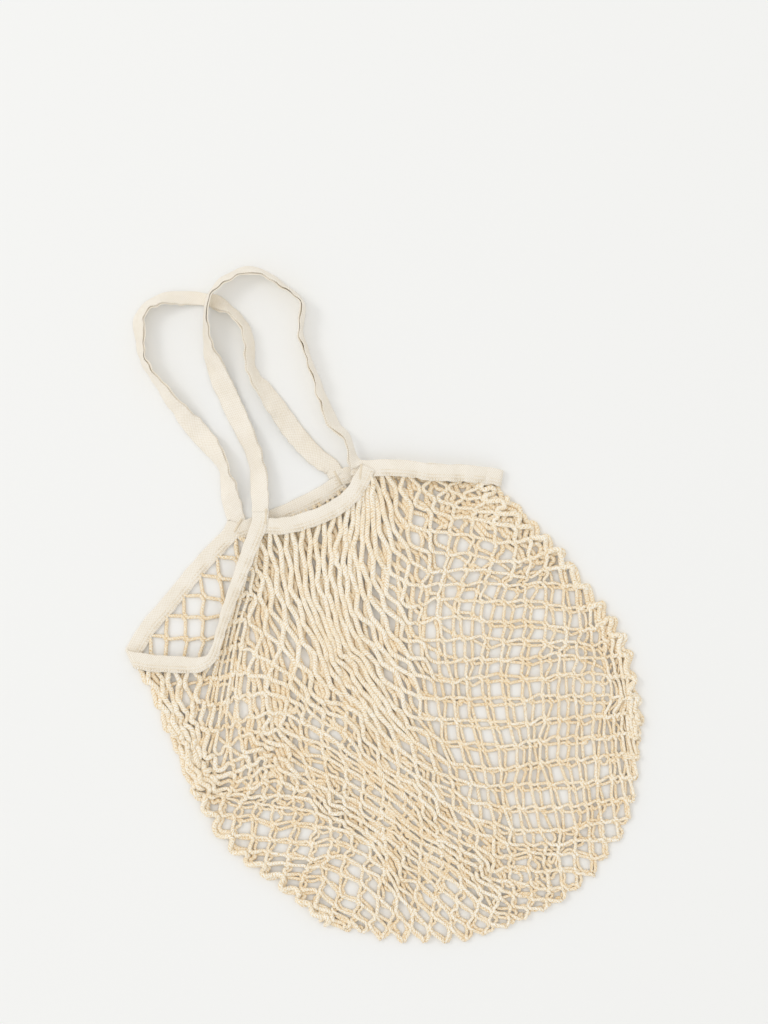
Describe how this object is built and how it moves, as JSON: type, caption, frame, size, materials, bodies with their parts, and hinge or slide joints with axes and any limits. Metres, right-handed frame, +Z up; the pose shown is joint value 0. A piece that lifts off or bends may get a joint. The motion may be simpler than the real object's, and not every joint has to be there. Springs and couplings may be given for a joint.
{
  "type": "mesh produce bag",
  "caption": "Soft cotton net pouch lying flat, its mouth bound in folded tape that carries on as two long shoulder-length handles.",
  "frame": {"origin": "under the middle of the whole object, on the surface that it lies on", "axes": "+Z up out of the front face, +Y from the closed base towards the handles, +X across the mouth"},
  "size_m": [0.3805, 0.6167, 0.0214],
  "materials": {
    "net_yarn": "matt",
    "binding_tape": "matt",
    "handle_tape": "matt",
    "thread": "matt"
  },
  "bodies": {
    "bag": {"back_net": "net_yarn", "front_net": "net_yarn", "side_net_left": "net_yarn", "side_net_right": "net_yarn", "bottom_net_turn": "net_yarn", "back_rim_tape": "binding_tape", "left_binding_back": "binding_tape", "right_binding_back": "binding_tape", "left_fold_turn": "binding_tape", "right_fold_turn": "binding_tape", "left_binding_dip": "binding_tape", "back_rim_stitching": "thread", "left_back_stitching": "thread", "right_back_stitching": "thread", "left_dip_stitching": "thread", "back_left_tack": "thread", "back_right_tack": "thread"},
    "front_flap": {"front_net_flap": "net_yarn", "front_rim_tape": "binding_tape", "left_binding_front": "binding_tape", "right_binding_front": "binding_tape", "front_rim_stitching": "thread", "left_front_stitching": "thread", "right_front_stitching": "thread", "front_left_tack": "thread", "front_right_tack": "thread"},
    "front_handle": {"front_handle_strap": "handle_tape"},
    "back_handle": {"back_handle_strap": "handle_tape"}
  },
  "joints": [
    {"name": "mouth_open", "type": "hinge", "parent": "bag", "child": "front_flap", "pos_m": [-0.125, 0.009, 0.0128], "axis": [0.9938, 0.1116, 0], "range_deg": [0, 40]},
    {"name": "front_handle_swing", "type": "hinge", "parent": "front_flap", "child": "front_handle", "pos_m": [0.012, 0.1035, 0.0128], "axis": [1, 0, 0], "range_deg": [0, 120]},
    {"name": "back_handle_swing", "type": "hinge", "parent": "bag", "child": "back_handle", "pos_m": [-0.009, 0.105, 0.003], "axis": [1, 0, 0], "range_deg": [0, 85]}
  ],
  "couplings": [
    {"joint": "back_handle_swing", "follows": "front_handle_swing", "ratio": 0.7}
  ]
}
